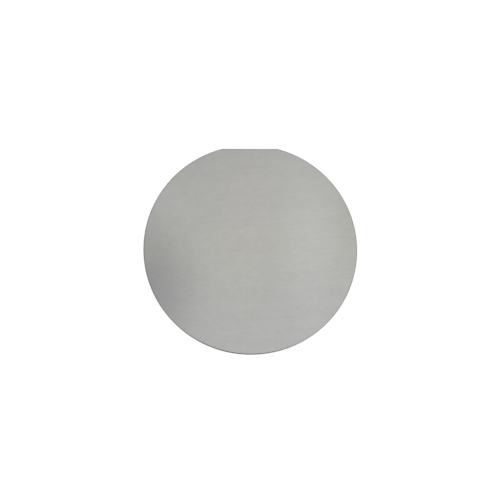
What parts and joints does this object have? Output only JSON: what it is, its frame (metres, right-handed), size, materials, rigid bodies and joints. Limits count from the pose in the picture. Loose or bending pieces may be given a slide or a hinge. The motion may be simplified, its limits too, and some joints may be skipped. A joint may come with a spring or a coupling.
{
  "type": "silicon wafer",
  "caption": "Thin round wafer of sawn grey silicon, with a flat on its rim and a bevelled, rounded edge.",
  "frame": {"origin": "centre of the round rim, on the back face", "axes": "+Z out of the front face, +Y towards the primary flat, +X along the flat"},
  "size_m": [0.0762, 0.0749, 0.0004],
  "materials": {
    "silicon": "satin"
  },
  "bodies": {
    "root": {"wafer": "silicon"}
  },
  "joints": []
}
